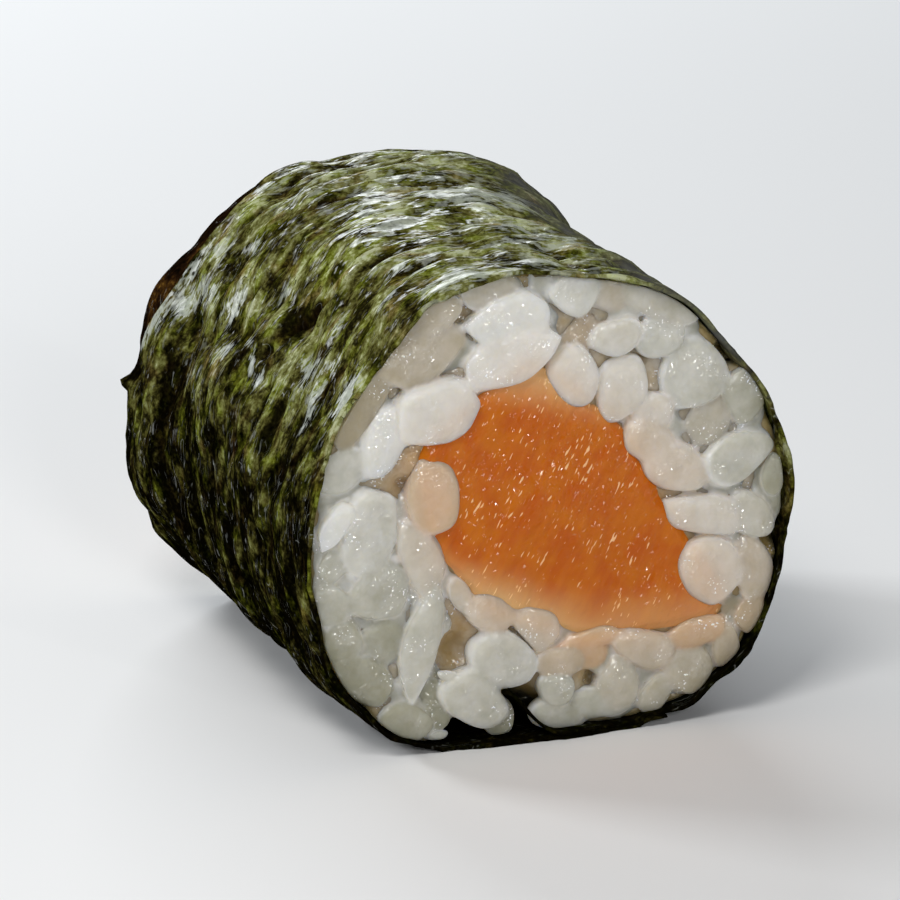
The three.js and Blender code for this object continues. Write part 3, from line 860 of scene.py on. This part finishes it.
def edge_ends(mesh):
    """Both ends of every edge, each edge both ways round."""
    ends = np.empty(len(mesh.edges) * 2, int)
    mesh.edges.foreach_get("vertices", ends)
    first, second = ends.reshape(-1, 2).T
    return np.concatenate([first, second]), np.concatenate([second, first])


def read_values(mesh, name):
    values = np.empty(len(mesh.vertices), np.float32)
    mesh.attributes[name].data.foreach_get("value", values)
    return values


def write_values(mesh, name, values):
    mesh.attributes[name].data.foreach_set("value", values.astype(np.float32))


def spread_to_seams(mesh):
    """Gives the new points along the seams between grains the looks of the points beside them."""
    count = len(mesh.vertices)
    starts, stops = edge_ends(mesh)
    known = read_values(mesh, "known") > 0.99
    for name in GRAIN_LOOKS:
        values = read_values(mesh, name)
        sure = known
        for _ in range(SEAM_ROUNDS):
            usable = sure[starts]
            total = np.bincount(stops[usable], values[starts[usable]], count)
            number = np.bincount(stops[usable], minlength=count)
            fill = ~sure & (number > 0)
            values[fill] = total[fill] / number[fill]
            sure = sure | fill
        write_values(mesh, name, values)


def round_seams(mesh):
    """Lets the rice flow together a little along the seams between grains, as sticky rice does."""
    count = len(mesh.vertices)
    starts, stops = edge_ends(mesh)
    number = np.maximum(np.bincount(stops, minlength=count), 1)
    near = (read_values(mesh, "known") < 0.99).astype(float)
    for _ in range(SEAM_REACH):
        near = np.maximum(near, 0.9 * np.bincount(stops, near[starts], count) / number)
    near = np.clip(near * 2.5, 0, 1)[:, None]
    for name in GRAIN_LOOKS:
        values = read_values(mesh, name)
        for _ in range(SEAM_ROUNDS // 2):
            middle = np.bincount(stops, values[starts], count) / number
            values = values + 0.6 * near[:, 0] * (middle - values)
        write_values(mesh, name, values)
    points = np.empty(count * 3)
    mesh.vertices.foreach_get("co", points)
    points = points.reshape(-1, 3)
    for _ in range(SEAM_ROUNDS):
        middle = np.stack([np.bincount(stops, points[starts, k], count) for k in range(3)], axis=-1)
        points = points + 0.5 * near * (middle / number[:, None] - points)
    mesh.vertices.foreach_set("co", points.ravel())
    mesh.attributes.remove(mesh.attributes["known"])


def grain_looks(points, pale, pink, rim):
    """How pale and tinted a grain is: painted shade close under the nori and towards the lower right, and
    tinted by the fish.
    """
    x, y, z = points.T
    radius = np.hypot(x, z)
    angle = angle_of(x, z)
    gap = np.maximum(radius - salmon_radius(angle), 0)
    under = np.maximum(roll_radius(angle, y) - radius, 0)
    lower = 0.015 * np.maximum(x - z - 2, 0)
    # Painted shade where the grain lies close under the nori, and towards the lower right.
    pale = pale - 0.4 * np.exp(-under / 0.5) - lower
    pink = np.clip(pink + 0.3 * np.exp(-gap / 0.7), 0, 0.85)
    return {"pale": pale, "pink": pink, "rim": rim, "known": np.ones(len(points))}


def pressed_mesh(first, heap):
    """The mesh that is left when one grain is joined with a collection of others and smoothed a little."""
    press = first.modifiers.new("press", "BOOLEAN")
    press.operation = "UNION"
    press.solver = "MANIFOLD"
    press.operand_type = "COLLECTION"
    press.collection = heap
    settle = first.modifiers.new("settle", "SMOOTH")
    settle.factor = 0.5
    settle.iterations = 2
    graph = bpy.context.evaluated_depsgraph_get()
    graph.update()
    pressed = first.evaluated_get(graph)
    return bpy.data.meshes.new_from_object(pressed, preserve_all_data_layers=True, depsgraph=graph)


def join_grains(name, grains, material):
    """Presses loose grains together into one mesh with nothing hidden inside it."""
    heap = bpy.data.collections.new("loose_grains")
    scene = bpy.context.scene.collection
    scene.children.link(heap)
    for points, faces, *looks in grains:
        grain = add_mesh("grain", points, faces, material, grain_looks(points, *looks))
        scene.objects.unlink(grain)
        heap.objects.link(grain)
    first = heap.objects[0]
    heap.objects.unlink(first)
    scene.objects.link(first)
    mesh = pressed_mesh(first, heap)
    mesh.name = name
    mesh.shade_smooth()
    spread_to_seams(mesh)
    round_seams(mesh)
    for grain in [first, *heap.objects]:
        bpy.data.meshes.remove(grain.data)
    bpy.data.collections.remove(heap)
    return add_object(name, mesh)


def scattered_middles(spacing, random):
    """Places for grains all over the rice's section, on a loose six-sided grid."""
    middles = []
    for row, z in enumerate(np.arange(-14, 14.1, spacing * 0.87)):
        for x in np.arange(-14, 14.1, spacing) + (row % 2) * spacing / 2:
            spot = np.array([x, z]) + random.uniform(-0.3, 0.3, 2) * spacing
            angle = angle_of(*spot)
            radius = np.hypot(*spot)
            room = roll_radius(angle, 0) - rice_depth(angle) - 0.3
            if salmon_radius(angle) + 0.2 < radius < room and spot[1] > 1.2 - AXIS_HEIGHT:
                middles.append(spot)
    return middles


def loose_places(random):
    """Where the grains lie that fill up both ends: side, middle, the way they lie and how deep they lie."""
    places = []
    for side, behind, gap in ((-1, 0.45, 0.9), (1, 0.85, 0.9)):
        for turned in np.arange(0, 360, 14.5):
            radius = roll_radius(turned, side * HALF_LENGTH) - rice_depth(turned) - gap
            x, z = from_polar(radius, turned)
            lie = turned + 90 + random.uniform(-30, 30)
            places.append((side, x, z, lie, behind + random.uniform(-0.1, 0.1)))
    for side, behind, spacing in ((-1, 0.6, 2.1), (1, 0.95, 2.2)):
        for x, z in scattered_middles(spacing, random):
            places.append((side, x, z, random.uniform(0, 180), behind + random.uniform(-0.15, 0.15)))
    return places


def rice_depth_at(points):
    return rice_depth(angle_of(points[:, 0], points[:, 2])) + PRESSED_IN


def front_grains(random, ball, faces):
    """The grains that are listed, in the front cut."""
    grains = []
    for number, (x, z, length, width, lie, behind, pale, pink) in enumerate(FRONT_GRAINS):
        depth = min(width, GRAIN_DEPTH)
        top = 0.3 * depth
        tilt = random.uniform(-7, 7)
        clean = pale > CLEAN_CUT
        softness = random.uniform(0.04, 0.08) if clean else random.uniform(0.15, 0.3)
        ragged, flats = (0.09, 7) if clean else (0.02, 4)
        size = (length * GRAIN_SWELLING, width * GRAIN_SWELLING, depth)
        points, rim = shape_grain(ball, size, lie, tilt, number, top, softness, ragged, flats)
        points = points + np.array([x, top + behind * BEHIND_SHARE - HALF_LENGTH, z])
        points = hold_in_nori(points, NORI_THICKNESS + PRESSED_IN)
        grains.append((points, faces, pale, pink, rim))
    return grains


def far_grains(random, ball, faces):
    """The grains of the far end lie much as those of the front do, each a little moved and turned."""
    grains = []
    for number, (x, z, length, width, lie, behind, pale, _) in enumerate(FRONT_GRAINS):
        share = 1 - (1 - SALMON_BACK_SCALE) * (salmon_radius(angle_of(x, z)) / np.hypot(x, z))
        x = x * share + random.uniform(-0.35, 0.35)
        z = z * share + random.uniform(-0.35, 0.35)
        depth = min(width, GRAIN_DEPTH)
        top = random.uniform(0.3, 0.42) * depth
        size = (length * GRAIN_SWELLING, width * GRAIN_SWELLING, depth)
        lie = lie + random.uniform(-25, 25)
        tilt = random.uniform(-12, 12)
        softness = 0.08 if pale > CLEAN_CUT else 0.25
        points, rim = shape_grain(ball, size, lie, tilt, number + FAR_SEED, top, softness)
        points[:, 1] *= -1
        behind = behind * BEHIND_SHARE + random.uniform(0.0, 0.3)
        points = points + np.array([x, HALF_LENGTH - behind - top, z])
        points = hold_in_nori(points, rice_depth_at(points))
        grains.append((points, faces, random.uniform(0.1, 0.85), 0.0, rim))
    return grains


def filling_grains(random, ball, faces, mirrored):
    """Grains that fill up both ends, clear of the hollows of the front."""
    grains = []
    for side, x, z, lie, behind in loose_places(random):
        clear = 1.0 if behind < 0.5 else 1.4
        if side < 0 and any(np.hypot(x - vx, z - vz) < reach + clear for vx, vz, reach, _ in VOIDS):
            continue
        size = (random.uniform(3.8, 5.2), random.uniform(2.3, 2.9), random.uniform(2.2, 2.6))
        top = random.uniform(0.3, 0.4) * size[2]
        tilt = random.uniform(-16, 16)
        points, rim = shape_grain(ball, size, lie, tilt, random.uniform(100, 900), top, 0.25)
        points[:, 1] *= -side
        points = points + np.array([x, side * (HALF_LENGTH - behind - top), z])
        points = hold_in_nori(points, rice_depth_at(points))
        pale = random.uniform(0.15, 0.5)
        grains.append((points, mirrored if side > 0 else faces, pale, 0.0, rim))
    return grains


def make_rice_grains():
    random = np.random.default_rng(7)
    coarse, faces = grain_ball(3)
    mirrored = [face[::-1] for face in faces]
    grains = front_grains(random, *grain_ball(4))
    grains += far_grains(random, coarse, mirrored)
    grains += filling_grains(random, coarse, faces, mirrored)
    material = rice_material("rice_grain", colour(142, 140, 119), colour(216, 172, 132))
    stand_for(join_grains("rice_grains", grains, material), "rice")


CORE_COLUMNS = 240
CORE_RINGS = 24
CORE_LENGTHS = 10
CORE_ENDS = 2.2  # from each cut to the first ring of the core's sides
CORE_EDGE_DEPTH = 0.05  # of the core's rim under the sheet at the cuts
CORE_SIDE_DEPTH = 0.9  # of its sides, which leaves room for the grains


def hollow_depth(x, z):
    """How deep the hollows between the grains of the front are, at places in the section."""
    depth = np.zeros(x.shape)
    for middle_x, middle_z, reach, deepest in VOIDS:
        depth = depth + deepest * hill(np.hypot(x - middle_x, z - middle_z), reach)
    return depth


def core_outside(angle, along):
    at_cut = abs(along) == HALF_LENGTH
    depth = rice_depth(angle) + (CORE_EDGE_DEPTH if at_cut else CORE_SIDE_DEPTH)
    return hold_in_nori(roll_points(angle, np.full(angle.shape, along), depth), depth)


def core_inside(angle, along):
    return ring_points(from_polar(salmon_radius(angle) - CORE_OVERLAP, angle), along)


def core_end(angle, outwards):
    """One end of the core, as rings of points from the fish out to the nori."""
    near, far = core_inside(angle, 0.0), core_outside(angle, outwards * HALF_LENGTH)
    rows = []
    for share in np.linspace(0, 1, CORE_RINGS):
        row = near + (far - near) * share
        x, z = row[:, 0], row[:, 2]
        lumps = 0.18 * noise(x / 1.6, 0, z / 1.6, 30 + outwards)
        lumps = lumps + 0.08 * noise(x / 0.6, 0, z / 0.6, 33 + outwards)
        beside_fish = np.hypot(*(row - near)[:, [0, 2]].T)
        beside_nori = np.hypot(*(row - far)[:, [0, 2]].T)
        recess = lumps - 0.15 * hill(beside_fish, 1.1) - 0.12 * hill(beside_nori, 0.8)
        recess = recess + (CORE_RECESS + hollow_depth(x, z) if outwards < 0 else BACK_CORE_RECESS)
        row[:, 1] = outwards * (HALF_LENGTH - recess)
        rows.append(row)
    return rows


def core_looks(rows, angle):
    """How pale and tinted the core is: painted shade in the hollows, beside the nori and towards the lower
    right.
    """
    x, y, z = np.moveaxis(rows, -1, 0)
    radius = np.hypot(x, z)
    front = y < 0
    beside_fish = np.maximum(radius - salmon_radius(angle), 0)
    beside_nori = np.maximum(roll_radius(angle, 0) - rice_depth(angle) - radius, 0)
    # Painted shade: darker in the hollows between the grains, beside the nori and towards the lower right.
    pale = np.where(front, 0.3, 0.35) - 0.3 * front * np.clip(hollow_depth(x, z), 0, 2)
    pale = pale - 0.35 * smoothstep(x - z, 14, 19) - 0.4 * hill(beside_nori, 0.9)
    pink = np.where(front, 0.85, 0.3) * np.exp(-beside_fish / np.where(front, 1.4, 0.6))
    return {"pale": pale, "pink": pink, "rim": np.zeros(radius.shape)}


def make_rice_core():
    angle = np.linspace(0, 360, CORE_COLUMNS, endpoint=False)
    end = HALF_LENGTH - CORE_ENDS
    outside = [core_outside(angle, along) for along in np.linspace(-end, end, CORE_LENGTHS)]
    inside = [core_inside(angle, along) for along in np.linspace(end, -end, 4)]
    rows = np.stack(core_end(angle, -1) + outside + core_end(angle, 1)[::-1] + inside)
    faces = grid_faces(len(rows), CORE_COLUMNS, ring=True, loop=True).tolist()
    material = rice_material("rice_core", colour(150, 126, 78), colour(190, 140, 78))
    stand_for(add_mesh("rice_core", rows, faces, material, core_looks(rows, angle)), "rice")


# ---- salmon ----

FISH_COLUMNS = 300
FISH_RINGS = 60
FISH_LENGTHS = 6
FISH_ENDS = 1.2  # from each cut to the first ring of the fish's sides


def fish_ring(angle, along, share):
    """Points of the section at a place along the roll, at a share of the way out to the fish's skin."""
    towards_back = (along + HALF_LENGTH) / ROLL_LENGTH
    uneven = 0.12 * noise(angle / 14, 0, 0, 40) + 0.05 * noise(angle / 4, 5, 0, 41)
    radius = salmon_radius(angle) * (1 + (SALMON_BACK_SCALE - 1) * towards_back) + uneven
    return from_polar(share * radius, angle)


def fish_relief(x, z, share, outwards):
    """Height of the cut fish at places in the section, and how strongly a strand shows there."""
    fibre = np.radians(FIBRE_ANGLE)
    lengthways = x * np.cos(fibre) + z * np.sin(fibre)
    across = z * np.cos(fibre) - x * np.sin(fibre) + 0.5 * noise(x / 3, 0, z / 3, 42)
    strands = noise(lengthways / 3.2, across / 0.55, outwards, 43)
    fine = noise(lengthways / 1.2, across / 0.3, outwards, 44)
    broad = noise(x / 3.5, outwards, z / 3.5, 45)
    dome = 0.25 * (1 - share**2) - 0.2 * smoothstep(share, 0.92, 1.0)
    return dome + 0.035 * strands + 0.02 * fine + 0.1 * broad, strands


def fish_end(angle, outwards):
    """One cut end of the fish, as rings of points from its middle outwards, and its strands."""
    rows, streaks = [], []
    for share in np.linspace(0.01, 1, FISH_RINGS):
        x, z = fish_ring(angle, outwards * HALF_LENGTH, share)
        height, strands = fish_relief(x, z, share, outwards)
        y = outwards * (HALF_LENGTH - SALMON_RECESS + height)
        rows.append(np.stack([x, y, z], axis=-1))
        streaks.append(strands)
    return rows, streaks


def fat_share(x, z):
    """Fat lies along the lower edge of the strip and thins out towards the right-hand corner. There is a
    little more under the grains at the top."""
    edge = np.where(x < 2.6, -7.4 + 0.42 * (2.6 - x), -7.4 + 0.05 * (x - 2.6))
    height = z - edge + 0.35 * noise(x / 1.5, 0, z / 1.5, 46)
    fat = 0.95 * (1 - smoothstep(height, -0.2, 3.2)) * (1 - 0.5 * smoothstep(x, 0.0, 6.0))
    return np.maximum(fat, 0.9 * smoothstep(z + 0.3 * x, 5.2, 8.4))


def make_salmon():
    angle = np.linspace(0, 360, FISH_COLUMNS, endpoint=False)
    front, front_streaks = fish_end(angle, -1)
    back, back_streaks = fish_end(angle, 1)
    places = np.linspace(-HALF_LENGTH + FISH_ENDS, HALF_LENGTH - FISH_ENDS, FISH_LENGTHS)
    sides = [ring_points(fish_ring(angle, along, 1.0), along) for along in places]
    rows = np.stack(front + sides + back[::-1])
    streak = np.stack(front_streaks + [np.zeros(FISH_COLUMNS)] * FISH_LENGTHS + back_streaks[::-1])
    faces = grid_faces(len(rows), FISH_COLUMNS, ring=True).tolist()
    last = (len(rows) - 1) * FISH_COLUMNS
    faces += [list(range(FISH_COLUMNS)), [last + k for k in reversed(range(FISH_COLUMNS))]]
    looks = {"fat": fat_share(rows[..., 0], rows[..., 2]), "streak": np.clip(streak, 0, 1)}
    stand_for(add_mesh("salmon_strip", rows, faces, salmon_material(), looks), "salmon")


# ---- camera, floor and light ----

CAMERA_AZIMUTH = np.radians(-20.82)
CAMERA_ELEVATION = np.radians(16.31)
CAMERA_DISTANCE = 338.5
CAMERA_SHIFT = (0.055, -0.36)  # to the right and up, which puts the roll where the photo has it
CAMERA_LENS = 239.0
SENSOR_WIDTH = 36.0
FLOOR_REACH = 900.0  # half of the floor's width
LIGHTS = [  # name, azimuth and elevation in degrees, distance and size in metres, power and colour
    ("key", -42, 50, 0.3, (0.1, 0.1), 0.4, (1.0, 0.985, 0.96)),
    ("back", 176, 24, 0.6, (0.36, 0.1), 2.2, (0.93, 0.97, 1.0)),
    ("glint_back", -132, 28, 0.5, (0.14, 0.08), 1.1, (0.95, 0.98, 1.0)),
    ("glint_front", -6, 22, 0.5, (0.08, 0.08), 0.5, (1.0, 1.0, 1.0)),
    ("glint_low", 16, 6, 0.5, (0.02, 0.02), 0.35, (1.0, 0.98, 0.95)),
]


def directions(azimuth, elevation):
    """Right, up and back of a view from that side."""
    level = np.cos(elevation)
    back = np.array([np.sin(azimuth) * level, -np.cos(azimuth) * level, np.sin(elevation)])
    right = np.array([np.cos(azimuth), np.sin(azimuth), 0])
    return right, np.cross(back, right), back


def turned_to(place, right, up, back):
    """The matrix of an object at that place, which looks away from back."""
    matrix = Matrix(np.stack([right, up, back], axis=-1).tolist()).to_4x4()
    matrix.translation = Vector(place.tolist())
    return matrix


def make_camera():
    right, up, back = directions(CAMERA_AZIMUTH, CAMERA_ELEVATION)
    data = bpy.data.cameras.new("camera")
    data.lens = CAMERA_LENS
    data.sensor_width = SENSOR_WIDTH
    data.clip_start = 0.01
    camera = add_object("camera", data)
    place = AXIS + CAMERA_SHIFT[0] * right + CAMERA_SHIFT[1] * up + CAMERA_DISTANCE * back
    camera.matrix_world = turned_to(place * MM, right, up, back)
    bpy.context.scene.camera = camera


def make_light(name, azimuth, elevation, distance, size, power, tint):
    right, up, back = directions(np.radians(azimuth), np.radians(elevation))
    data = bpy.data.lights.new(name, "AREA")
    data.shape = "RECTANGLE"
    data.size, data.size_y = size
    data.energy = power
    data.color = tint
    place = AXIS * MM + distance * back
    add_object(name, data).matrix_world = turned_to(place, right, up, back)


def floor_material():
    """A pale matt floor, very slightly uneven in tone."""
    shader = Shader("pale_floor")
    dapple = shader.noise(shader.place(), 90.0, detail=1)
    shader.set(Base_Color=shader.mix(dapple, (0.8, 0.8, 0.8, 1), (0.83, 0.83, 0.83, 1)))
    shader.set(Roughness=0.85)
    return shader.material


def make_floor():
    corners = np.array([[-1, -1, 0], [1, -1, 0], [1, 1, 0], [-1, 1, 0]]) * FLOOR_REACH
    floor = add_mesh("floor", corners - AXIS, [[0, 1, 2, 3]], floor_material())


def make_surroundings():
    world = bpy.data.worlds.new("studio")
    world.use_nodes = True
    light = world.node_tree.nodes["Background"].inputs
    light["Color"].default_value = (0.9, 0.94, 1.0, 1)
    light["Strength"].default_value = 0.12
    bpy.context.scene.world = world
    bpy.context.scene.view_settings.view_transform = "Standard"


make_nori()
make_rice_core()
make_rice_grains()
make_salmon()
make_camera()
make_floor()
for light in LIGHTS:
    make_light(*light)
make_surroundings()
